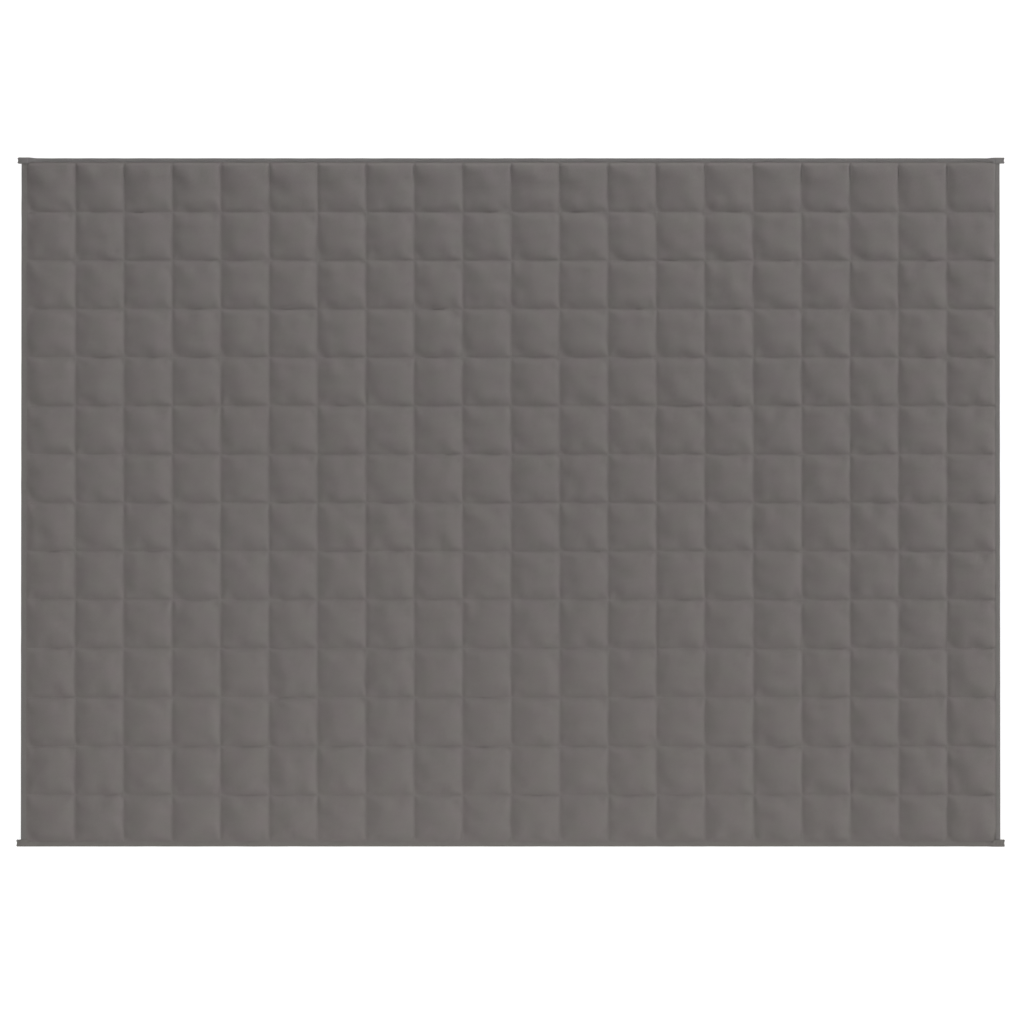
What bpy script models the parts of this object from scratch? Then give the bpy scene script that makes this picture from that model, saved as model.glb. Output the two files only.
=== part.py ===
"""Weighted blanket, lying flat: one quilted body of bead pockets, bound on its four edges with tape.

Metres, +Z up. +X runs along the long side and +Y towards the head edge. The origin is the middle of
the quilted field, on the surface that the blanket lies on.
"""

import math
from collections import namedtuple

import bmesh
import bpy

# The quilting: square pockets between straight seams.
COLUMNS = 20
ROWS = 14
PITCH = 0.0990
HALF_LENGTH = COLUMNS * PITCH / 2
HALF_WIDTH = ROWS * PITCH / 2

# Heights above the surface. A seam presses both cloths and the wadding flat between the pockets.
SEAM_MIDDLE = 0.0038
SEAM_THICKNESS = 0.0022
SEAM_TOP = SEAM_MIDDLE + SEAM_THICKNESS / 2
SEAM_UNDERSIDE = SEAM_MIDDLE - SEAM_THICKNESS / 2
CROWN_RISE = 0.0072

# A pocket's crown is round along X and flatter along Y, and its underside lies flat but for its edges.
CROWN_POWER_X = 2.2
CROWN_POWER_Y = 3.6
CELLS_PER_POCKET = 3
CELL_LINES = (0.0, 0.24, 0.76)
UNDERSIDE_EDGE = 0.015
UNEVEN_FILL = 0.09

# The sewn rim beyond the last seams, and the tape folded over it.
RIM_WIDTH = 0.0087
CLEARANCE = 0.0003
TAPE_THICKNESS = 0.0010
TAPE_FOLD_RADIUS = 0.0014
TAPE_WIDTH = RIM_WIDTH + CLEARANCE + TAPE_THICKNESS
TAPE_HALF_HEIGHT = SEAM_THICKNESS / 2 + CLEARANCE + TAPE_THICKNESS

# Over the whole blanket the foot edge lies a little wider than the head edge.
FOOT_SPREAD = 0.0008

# The two end tapes run over the side tapes and stand proud of them at the corners. "proud" is how far
# an end reaches past the side tape, "bulk" how far it swells outwards and "lap" how far over the pockets.
EndTape = namedtuple("EndTape", "name side proud_left proud_right bulk lap")
END_TAPES = (
    EndTape("end_tape_head", side=1, proud_left=0.0073, proud_right=0.0088, bulk=0.0014, lap=0.0020),
    EndTape("end_tape_foot", side=-1, proud_left=0.0075, proud_right=0.0083, bulk=0.0006, lap=0.0038),
)
SideTape = namedtuple("SideTape", "name side")
SIDE_TAPES = (SideTape("side_tape_left", side=-1), SideTape("side_tape_right", side=1))

# How an end tape opens out from its plain run to take in the side tape: a row for each section, with
# its place outwards from the last seam, and the share of the corner's height, bulk and lap it has.
CornerSection = namedtuple("CornerSection", "along height bulk lap")
CORNER_SECTIONS = (
    CornerSection(along=-0.0260, height=0.0, bulk=0.0, lap=0.0),
    CornerSection(along=-0.0130, height=0.4, bulk=0.3, lap=0.0),
    CornerSection(along=-0.0020, height=1.0, bulk=0.9, lap=0.9),
    CornerSection(along=TAPE_WIDTH + CLEARANCE, height=1.0, bulk=1.0, lap=1.0),
)
CORNER_HALF_HEIGHT = TAPE_HALF_HEIGHT + CLEARANCE + TAPE_THICKNESS
END_FOLD_SHRINK = 0.0005

CLOTH_COLOUR = (0.153, 0.139, 0.134, 1.0)
TAPE_COLOUR = (0.143, 0.139, 0.133, 1.0)


def clear_scene():
    """Removes whatever the scene holds, so that only the blanket is in it."""
    for old in list(bpy.data.objects):
        bpy.data.objects.remove(old, do_unlink=True)


def new_collection(name, hidden=False):
    """A collection in the scene; a hidden one holds the cutters."""
    collection = bpy.data.collections.new(name)
    collection.hide_render = hidden
    bpy.context.scene.collection.children.link(collection)
    return collection


def cloth_material(name, colour):
    """Matt brushed cloth."""
    material = bpy.data.materials.new(name)
    material.diffuse_color = colour
    material.use_nodes = True
    shader = material.node_tree.nodes["Principled BSDF"]
    shader.inputs["Base Color"].default_value = colour
    shader.inputs["Roughness"].default_value = 0.9
    shader.inputs["Metallic"].default_value = 0.0
    return material


def mesh_object(name, bm, collection, material=None):
    """An object of a finished bmesh, whose faces are turned to point outwards."""
    bmesh.ops.recalc_face_normals(bm, faces=bm.faces)
    mesh = bpy.data.meshes.new(name)
    bm.to_mesh(mesh)
    bm.free()
    obj = bpy.data.objects.new(name, mesh)
    collection.objects.link(obj)
    if material:
        mesh.materials.append(material)
    return obj


def laid(x, y):
    """Where a point of the true rectangle lies: the sides spread evenly from head to foot."""
    return x * (1 - FOOT_SPREAD * y / HALF_WIDTH), y


def fullness(column, row):
    """How full of beads a pocket is, about 1, with no two neighbours alike."""
    wander = math.sin(2.1 * column + 1.3 * row) + math.sin(0.7 * column - 1.9 * row + 0.5)
    return 1 + UNEVEN_FILL * wander / 2


def crown_height(across, along, column, row):
    """Height of the face cloth at a place in a pocket; across and along run from 0 to 1 between seams."""
    profile_x = 1 - abs(2 * across - 1) ** CROWN_POWER_X
    profile_y = 1 - abs(2 * along - 1) ** CROWN_POWER_Y
    return SEAM_TOP + CROWN_RISE * fullness(column, row) * profile_x * profile_y


def grid_place(share, pockets):
    """The pocket and the place in it, from 0 to 1, of a face-cloth grid line that lies at share of the way."""
    pocket, line = divmod(round(share * pockets * CELLS_PER_POCKET), CELLS_PER_POCKET)
    return pocket, CELL_LINES[line]


def add_face_cloth(bm):
    """The crowned upper side: three cells to a pocket each way, the middle one poked up to the crown."""
    sheet = bmesh.ops.create_grid(
        bm, x_segments=COLUMNS * CELLS_PER_POCKET, y_segments=ROWS * CELLS_PER_POCKET, size=0.5
    )
    inner = set()
    for vert in sheet["verts"]:
        column, across = grid_place(vert.co.x + 0.5, COLUMNS)
        row, along = grid_place(vert.co.y + 0.5, ROWS)
        if across and along:
            inner.add(vert)
        vert.co = (
            (column + across) * PITCH - HALF_LENGTH,
            (row + along) * PITCH - HALF_WIDTH,
            crown_height(across, along, column, row),
        )
    middles = [face for face in bm.faces if all(vert in inner for vert in face.verts)]
    for vert in bmesh.ops.poke(bm, faces=middles)["verts"]:
        column = int((vert.co.x + HALF_LENGTH) // PITCH)
        row = int((vert.co.y + HALF_WIDTH) // PITCH)
        vert.co.z = crown_height(0.5, 0.5, column, row)


def add_back_cloth(bm):
    """The underside: each pocket lies flat on the surface, and its edges rise to the seams."""
    sheet = bmesh.ops.create_grid(bm, x_segments=COLUMNS, y_segments=ROWS, size=0.5)
    for vert in sheet["verts"]:
        vert.co = (vert.co.x * 2 * HALF_LENGTH, vert.co.y * 2 * HALF_WIDTH, SEAM_UNDERSIDE)
    pockets = list({face for vert in sheet["verts"] for face in vert.link_faces})
    seams = set(sheet["verts"])
    bmesh.ops.inset_individual(bm, faces=pockets, thickness=UNDERSIDE_EDGE)
    for vert in {vert for face in pockets for vert in face.verts} - seams:
        vert.co.z = 0.0


def add_rim(bm):
    """Carries both cloths out flat beyond the last seams and closes them with the cut edge."""
    open_edges = [edge for edge in bm.edges if edge.is_boundary]
    grown = bmesh.ops.extrude_edge_only(bm, edges=open_edges)["geom"]
    for vert in (item for item in grown if isinstance(item, bmesh.types.BMVert)):
        if abs(vert.co.x) > HALF_LENGTH - CLEARANCE:
            vert.co.x += math.copysign(RIM_WIDTH, vert.co.x)
        if abs(vert.co.y) > HALF_WIDTH - CLEARANCE:
            vert.co.y += math.copysign(RIM_WIDTH, vert.co.y)
    bmesh.ops.bridge_loops(bm, edges=[edge for edge in bm.edges if edge.is_boundary])


def lay_out(bm):
    """Moves every point of a piece from the true rectangle to where it lies."""
    for vert in bm.verts:
        vert.co.x, vert.co.y = laid(vert.co.x, vert.co.y)


def build_quilted_body(collection, material):
    """Face cloth, back cloth and filling, sewn through into pockets: one filled solid."""
    bm = bmesh.new()
    add_face_cloth(bm)
    add_back_cloth(bm)
    add_rim(bm)
    lay_out(bm)
    return mesh_object("quilted_body", bm, collection, material)


def folded_outline(inner, outer, half_height):
    """Outline of a folded tape across its run, as (outwards, height) points: square inside, round outside."""
    points = [(inner, SEAM_MIDDLE - half_height)]
    for turn in (-90, -45, 0, 0, 45, 90):
        level = half_height - TAPE_FOLD_RADIUS
        centre = -level if len(points) < 4 else level
        angle = math.radians(turn)
        outwards = outer - TAPE_FOLD_RADIUS + TAPE_FOLD_RADIUS * math.cos(angle)
        points.append((outwards, SEAM_MIDDLE + centre + TAPE_FOLD_RADIUS * math.sin(angle)))
    points.append((inner, SEAM_MIDDLE + half_height))
    return points


def box_outline(inner, outer, half_height):
    """Outline of the space inside a folded tape, as (outwards, height) points."""
    low = SEAM_MIDDLE - half_height
    high = SEAM_MIDDLE + half_height
    return [(inner, low), (outer, low), (outer, high), (inner, high)]


def lofted(sections, place):
    """A closed body through sections of equal length; each is (along, outline), and place sets it in space."""
    bm = bmesh.new()
    rings = []
    for along, outline in sections:
        rings.append([bm.verts.new(place(along, outwards, height)) for outwards, height in outline])
    for ring, following in zip(rings, rings[1:]):
        for here in range(len(ring)):
            after = (here + 1) % len(ring)
            bm.faces.new((ring[here], ring[after], following[after], following[here]))
    bm.faces.new(rings[0])
    bm.faces.new(rings[-1])
    lay_out(bm)
    return bm


def cut_from(tape, cutter):
    """Takes the space for the blanket's edge out of a solid tape."""
    cutter.hide_render = True
    cutter.display_type = "WIRE"
    difference = tape.modifiers.new("edge_space", "BOOLEAN")
    difference.operation = "DIFFERENCE"
    difference.solver = "EXACT"
    difference.object = cutter


def build_side_tape(tape, collection, cutters, material):
    """A tape folded over one side edge, as long as the sewn rim."""
    reach = HALF_WIDTH + RIM_WIDTH

    def place(along, outwards, height):
        return (tape.side * (HALF_LENGTH + outwards), along, height)

    outline = folded_outline(CLEARANCE, TAPE_WIDTH, TAPE_HALF_HEIGHT)
    solid = lofted([(-reach, outline), (reach, outline)], place)
    obj = mesh_object(tape.name, solid, collection, material)
    room = box_outline(-RIM_WIDTH, RIM_WIDTH + CLEARANCE, SEAM_THICKNESS / 2 + CLEARANCE)
    space = lofted([(-2 * reach, room), (2 * reach, room)], place)
    cut_from(obj, mesh_object(tape.name + "_space", space, cutters))
    return obj


def end_tape_sections(tape, outline_at):
    """Sections of an end tape from its left end to its right one; outline_at makes each from a corner row."""
    left = [(-HALF_LENGTH - row.along, outline_at(row)) for row in reversed(CORNER_SECTIONS)]
    right = [(HALF_LENGTH + row.along, outline_at(row)) for row in CORNER_SECTIONS]
    return left + right


def build_end_tape(tape, collection, cutters, material):
    """A tape folded over the head or foot edge and the ends of both side tapes, its own ends turned in."""

    def place(along, outwards, height):
        return (along, tape.side * (HALF_WIDTH + outwards), height)

    def outside(row):
        rise = (CORNER_HALF_HEIGHT - TAPE_HALF_HEIGHT) * row.height
        inner = CLEARANCE - tape.lap * row.lap
        return folded_outline(inner, TAPE_WIDTH + tape.bulk * row.bulk, TAPE_HALF_HEIGHT + rise)

    def inside(row):
        rise = (CORNER_HALF_HEIGHT - TAPE_HALF_HEIGHT) * row.height
        half_height = SEAM_THICKNESS / 2 + CLEARANCE + rise
        return box_outline(-RIM_WIDTH, RIM_WIDTH + CLEARANCE, half_height)

    past_side = HALF_LENGTH + TAPE_WIDTH
    turned_in = folded_outline(
        CLEARANCE - tape.lap + END_FOLD_SHRINK,
        TAPE_WIDTH + tape.bulk - END_FOLD_SHRINK,
        CORNER_HALF_HEIGHT - END_FOLD_SHRINK,
    )
    sections = end_tape_sections(tape, outside)
    sections.insert(0, (-past_side - tape.proud_left, turned_in))
    sections.append((past_side + tape.proud_right, turned_in))
    obj = mesh_object(tape.name, lofted(sections, place), collection, material)
    space = lofted(end_tape_sections(tape, inside), place)
    cut_from(obj, mesh_object(tape.name + "_space", space, cutters))
    return obj


def main():
    """Builds the blanket's five pieces."""
    clear_scene()
    blanket = new_collection("weighted_blanket")
    cutters = new_collection("cutters", hidden=True)
    cloth = cloth_material("quilt_cloth", CLOTH_COLOUR)
    woven_tape = cloth_material("binding_tape", TAPE_COLOUR)
    build_quilted_body(blanket, cloth)
    for tape in SIDE_TAPES:
        build_side_tape(tape, blanket, cutters, woven_tape)
    for tape in END_TAPES:
        build_end_tape(tape, blanket, cutters, woven_tape)


main()
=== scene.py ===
"""A weighted blanket laid out flat: the looks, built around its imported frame.

Metres, +Z up. +X runs along the long side and +Y towards the head edge. The origin is the middle of
the quilted field, on the surface that the blanket lies on.
"""

import logging
import math
from dataclasses import dataclass, field
from enum import Enum
from typing import Dict, List, Optional, Sequence, Tuple, Union

import bpy
import numpy as np
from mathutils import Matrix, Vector

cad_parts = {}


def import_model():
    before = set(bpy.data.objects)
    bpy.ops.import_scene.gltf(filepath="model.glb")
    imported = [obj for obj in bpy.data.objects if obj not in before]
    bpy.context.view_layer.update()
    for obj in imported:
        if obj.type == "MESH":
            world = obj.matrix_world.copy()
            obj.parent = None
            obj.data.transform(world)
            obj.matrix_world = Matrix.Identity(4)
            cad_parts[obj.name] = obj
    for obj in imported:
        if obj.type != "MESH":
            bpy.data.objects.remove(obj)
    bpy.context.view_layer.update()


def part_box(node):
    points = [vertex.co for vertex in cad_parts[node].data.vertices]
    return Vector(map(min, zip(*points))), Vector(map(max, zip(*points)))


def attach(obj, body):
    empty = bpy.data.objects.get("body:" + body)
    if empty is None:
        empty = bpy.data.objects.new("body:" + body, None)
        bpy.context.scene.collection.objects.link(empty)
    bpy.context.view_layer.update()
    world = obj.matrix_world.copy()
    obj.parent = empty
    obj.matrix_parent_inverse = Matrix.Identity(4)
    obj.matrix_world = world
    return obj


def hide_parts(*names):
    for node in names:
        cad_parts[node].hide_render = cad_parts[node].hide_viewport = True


LOG = logging.getLogger("weighted_blanket")
BODY = "root"
CLOTH_MAP = "cloth_place"
MM = 0.001
SEED = 20
# Added to the seed, so that a change to one kind of unevenness leaves the other draws alone.
BODY_DRAWS = 1
QUILTING_DRAWS = 2
BINDING_DRAWS = 3
RELIEF_DRAWS = 50
CORNER_DRAWS = 80

# The quilting, as the frame's solids have it.
COLUMNS = 20
ROWS = 14
SEAM_MIDDLE = 3.8 * MM
SEAM_THICKNESS = 2.2 * MM
SEAM_TOP = SEAM_MIDDLE + SEAM_THICKNESS / 2
SEAM_UNDERSIDE = SEAM_MIDDLE - SEAM_THICKNESS / 2
RIM_WIDTH = 8.7 * MM
FOOT_SPREAD = 0.0008  # How much longer, as a share, the blanket is at the foot than in its middle.
UNEVEN_FILL = 0.09  # How much fuller than even the fullest pocket may be.

STITCHES_PER_POCKET = 24
LOWEST = 0.05 * MM  # Nothing of the tapes lies nearer to the surface than this.
NO_TRIANGLES = np.empty((0, 3), int)

Colour = Tuple[float, float, float, float]
Pair = Tuple[float, float]
Array = np.ndarray
Grids = Tuple[Array, Array]
Material = bpy.types.Material
Mesh = bpy.types.Mesh
Socket = bpy.types.NodeSocket


class Slot(Enum):
    """The record's material slots."""

    QUILT = "quilt_cloth"
    TAPE = "binding_tape"


class Edge(Enum):
    """An edge of the blanket: its node, the axis that it runs along and the side it lies on."""

    LEFT = ("side_tape_left", "y", -1)
    RIGHT = ("side_tape_right", "y", 1)
    HEAD = ("end_tape_head", "x", 1)
    FOOT = ("end_tape_foot", "x", -1)

    def __init__(self, node: str, along: str, side: int) -> None:
        """Keeps the node, the axis, and 1 for the positive side or -1 for the negative one."""
        self.node, self.along, self.side = node, along, side


# ------ Arrays and meshes ------


def smooth_step(low: float, high: float, value: Array) -> Array:
    """Rises from 0 at low to 1 at high, with level ends: t * t * (3 - 2 t)."""
    share = np.clip((value - low) / (high - low), 0.0, 1.0)
    return share * share * (3 - 2 * share)


def bell(distance: Array, reach: float) -> Array:
    """Falls from 1 to nothing with the distance: e to the minus square of distance over reach."""
    return np.exp(-((distance / reach) ** 2))


def wander(rng: np.random.Generator, along: Array, reach: float, waves: int = 6) -> Array:
    """A smooth wandering curve: a sum of sines of unlike lengths.

    Args:
        rng: Where the lengths and the shifts are drawn from.
        along: Places along the run, in metres.
        reach: The usual length of a wave, in metres.
        waves: How many sines are added.

    Returns:
        The curve's value at each place, with a spread of about 1.
    """
    lengths = reach * np.exp(rng.uniform(-0.6, 0.6, waves))
    shifts = rng.uniform(0, 2 * math.pi, waves)
    phases = 2 * math.pi * along[..., None] / lengths + shifts
    return np.sin(phases).sum(-1) * math.sqrt(2 / waves)


def ripple(rng: np.random.Generator, x: Array, y: Array, reach: float, waves: int = 14) -> Array:
    """A smooth uneven field: a sum of plane waves of unlike lengths and headings.

    Args:
        rng: Where the waves are drawn from.
        x: Places along X, in metres.
        y: Places along Y, in metres.
        reach: The usual length of a wave, in metres.
        waves: How many plane waves are added.

    Returns:
        The field's value at each place, with a spread of about 1.
    """
    headings = rng.uniform(0, math.pi, waves)
    numbers = 2 * math.pi / (reach * np.exp(rng.uniform(-0.5, 0.5, waves)))
    shifts = rng.uniform(0, 2 * math.pi, waves)
    total = np.zeros(np.broadcast(x, y).shape)
    for heading, number, shift in zip(headings, numbers, shifts):
        total += np.sin(number * (x * math.cos(heading) + y * math.sin(heading)) + shift)
    return total * math.sqrt(2 / waves)


def spline_weights(places: Array, cells: int) -> Array:
    """Weights that read values kept at even places at other places, by a natural cubic spline.

    Between two kept values the curve is their straight mix plus (s ** 3 - s) / 6 of each one's
    second difference, where s is the share of the way. The second differences keep the slope
    unbroken.

    Args:
        places: Where the curve is read, from 0 to 1.
        cells: The number of even steps between the kept values.

    Returns:
        A matrix with a row for each place and a column for each kept value.
    """
    inner = np.arange(1, cells)
    bend = np.zeros((cells + 1, cells + 1))
    bend[inner, inner - 1] = bend[inner, inner + 1] = 1.0
    bend[inner, inner] = -2.0
    slope = np.eye(cells + 1)
    slope[inner, inner - 1] = slope[inner, inner + 1] = 1 / 6
    slope[inner, inner] = 4 / 6
    second = np.linalg.solve(slope, bend)
    cell = np.minimum((places * cells).astype(int), cells - 1)
    after = places * cells - cell
    row = np.arange(len(places))
    straight = np.zeros((len(places), cells + 1))
    curved = np.zeros_like(straight)
    for column, share in ((cell, 1 - after), (cell + 1, after)):
        straight[row, column] += share
        curved[row, column] += (share**3 - share) / 6
    return straight + curved @ second


def grid_quads(rows: int, columns: int, first: int = 0, closed: bool = False) -> Array:
    """The corner numbers of the cells of a grid of points.

    Args:
        rows: Rows of points.
        columns: Points in a row.
        first: The number of the grid's first point.
        closed: Whether each row's last point joins its first.

    Returns:
        An array with four corner numbers for each cell.
    """
    index = first + np.arange(rows * columns).reshape(rows, columns)
    if closed:
        index = np.concatenate([index, index[:, :1]], axis=1)
    corners = [index[:-1, :-1], index[:-1, 1:], index[1:, 1:], index[1:, :-1]]
    return np.stack(corners, axis=-1).reshape(-1, 4)


def border(rows: int, columns: int, first: int = 0) -> Array:
    """The numbers of a grid's outermost points, once around from its first point."""
    index = first + np.arange(rows * columns).reshape(rows, columns)
    return np.concatenate([index[0, :-1], index[:-1, -1], index[-1, :0:-1], index[:0:-1, 0]])


def make_mesh(name: str, points: Array, quads: Array, triangles: Array = NO_TRIANGLES) -> Mesh:
    """A smooth-shaded mesh from arrays.

    Args:
        name: The mesh's name.
        points: One row of x, y and z for each point.
        quads: Four corner numbers for each four-sided face.
        triangles: Three corner numbers for each triangle.

    Returns:
        The mesh.
    """
    corners = np.concatenate([quads.reshape(-1), triangles.reshape(-1)]).astype(np.int32)
    starts = np.concatenate([np.arange(len(quads)) * 4, quads.size + np.arange(len(triangles)) * 3])
    mesh = bpy.data.meshes.new(name)
    mesh.vertices.add(len(points))
    mesh.vertices.foreach_set("co", points.astype(np.float32).reshape(-1))
    mesh.loops.add(len(corners))
    mesh.loops.foreach_set("vertex_index", corners)
    mesh.polygons.add(len(starts))
    mesh.polygons.foreach_set("loop_start", starts.astype(np.int32))
    mesh.update(calc_edges=True)
    mesh.validate()
    mesh.shade_smooth()
    return mesh


def add_cloth_places(mesh: Mesh, places: Array) -> None:
    """Gives a mesh the map that its weave follows.

    Args:
        mesh: The mesh.
        places: For each point, where it lay in the flat cloth, in metres.
    """
    corners = np.empty(len(mesh.loops), np.int32)
    mesh.loops.foreach_get("vertex_index", corners)
    layer = mesh.uv_layers.new(name=CLOTH_MAP)
    layer.data.foreach_set("uv", places[corners].astype(np.float32).reshape(-1))


def add_object(name: str, data: bpy.types.ID) -> bpy.types.Object:
    """Puts an object into the scene.

    Args:
        name: Its name.
        data: Its mesh, light or camera.

    Returns:
        The new object, at the origin.
    """
    thing = bpy.data.objects.new(name, data)
    bpy.context.scene.collection.objects.link(thing)
    return thing


def add_piece(mesh: Mesh, material: Material) -> bpy.types.Object:
    """Puts a finished mesh into the scene as a piece of the blanket.

    Args:
        mesh: The mesh, already in place.
        material: Its material.

    Returns:
        The new object.
    """
    mesh.materials.append(material)
    piece = add_object(mesh.name, mesh)
    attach(piece, BODY)
    LOG.info("%s: %d points, %d faces", piece.name, len(mesh.vertices), len(mesh.polygons))
    return piece


# ------ Finishes ------


class NodeBench:
    """Adds nodes to a tree and joins them, so that a finish reads as a list of steps."""

    def __init__(self, tree: bpy.types.NodeTree) -> None:
        """Sets the bench up on a material's, a world's or a group's node tree."""
        self.tree = tree

    def feed(self, socket: Socket, value: object) -> None:
        """Joins a socket to an input, or sets the input's own value.

        Args:
            socket: The input.
            value: A socket, or a value that the input takes.
        """
        if isinstance(value, Socket):
            self.tree.links.new(value, socket)
        else:
            socket.default_value = value

    def give(self, node: bpy.types.Node, **inputs: object) -> None:
        """Feeds a node's inputs by name, where _ stands for a space in the name."""
        for name, value in inputs.items():
            self.feed(node.inputs[name.replace("_", " ")], value)

    def add(
        self, kind: str, settings: Optional[Dict[str, object]] = None, **inputs: object
    ) -> bpy.types.Node:
        """Adds a node.

        Args:
            kind: The node's type, without the leading ShaderNode.
            settings: The node's own properties.
            **inputs: Values or sockets for its inputs, as give takes them.

        Returns:
            The node.
        """
        node = self.tree.nodes.new("ShaderNode" + kind)
        for name, value in (settings or {}).items():
            setattr(node, name, value)
        self.give(node, **inputs)
        return node

    def group(self, tree: bpy.types.NodeTree, **inputs: object) -> bpy.types.NodeOutputs:
        """Places a node group with its own values; returns its outputs."""
        return self.add("Group", {"node_tree": tree}, **inputs).outputs

    def _operate(self, kind: str, operation: str, values: Sequence[object]) -> bpy.types.Node:
        """Adds a node that does a sum.

        Args:
            kind: The node's type, as add takes it.
            operation: What is done with the values.
            values: Values or sockets for its first inputs.

        Returns:
            The node.
        """
        node = self.add(kind, {"operation": operation})
        for socket, value in zip(node.inputs, values):
            self.feed(socket, value)
        return node

    def math(self, operation: str, *values: object) -> Socket:
        """A sum on one to three numbers; returns the result's socket."""
        return self._operate("Math", operation, values).outputs["Value"]

    def vector(self, operation: str, *values: object) -> Socket:
        """A sum on two places, along each axis on its own; returns the result's socket."""
        return self._operate("VectorMath", operation, values).outputs["Vector"]

    def split(self, place: Socket) -> Tuple[Socket, Socket]:
        """The sockets of a place's X and Y."""
        outputs = self.add("SeparateXYZ", None, Vector=place).outputs
        return outputs["X"], outputs["Y"]

    def clamp(self, value: Socket) -> Socket:
        """A number held between 0 and 1."""
        return self.add("Clamp", None, Value=value).outputs["Result"]

    def mix(self, factor: object, first: object, second: object, blend: str = "MIX") -> Socket:
        """Two colours mixed.

        Args:
            factor: The second colour's share.
            first: A colour or a socket.
            second: The same.
            blend: How they mix.

        Returns:
            The mixed colour's socket.
        """
        node = self.add("Mix", {"data_type": "RGBA", "blend_type": blend}, Factor=factor)
        self.feed(node.inputs[6], first)
        self.feed(node.inputs[7], second)
        return node.outputs[2]

    def noise(self, place: Socket, scale: float, detail: float = 2.0) -> Socket:
        """Soft noise from 0 to 1 with scale lumps to a metre; returns its socket."""
        node = self.add("TexNoise", None, Vector=place, Scale=scale, Detail=detail, Roughness=0.55)
        return node.outputs["Fac"]


def new_material(name: str) -> Tuple[Material, NodeBench, bpy.types.Node]:
    """Makes a material.

    Args:
        name: Its name.

    Returns:
        The material, a bench on its tree and its Principled shader.
    """
    material = bpy.data.materials.new(name)
    material.use_nodes = True
    return material, NodeBench(material.node_tree), material.node_tree.nodes["Principled BSDF"]


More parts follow.
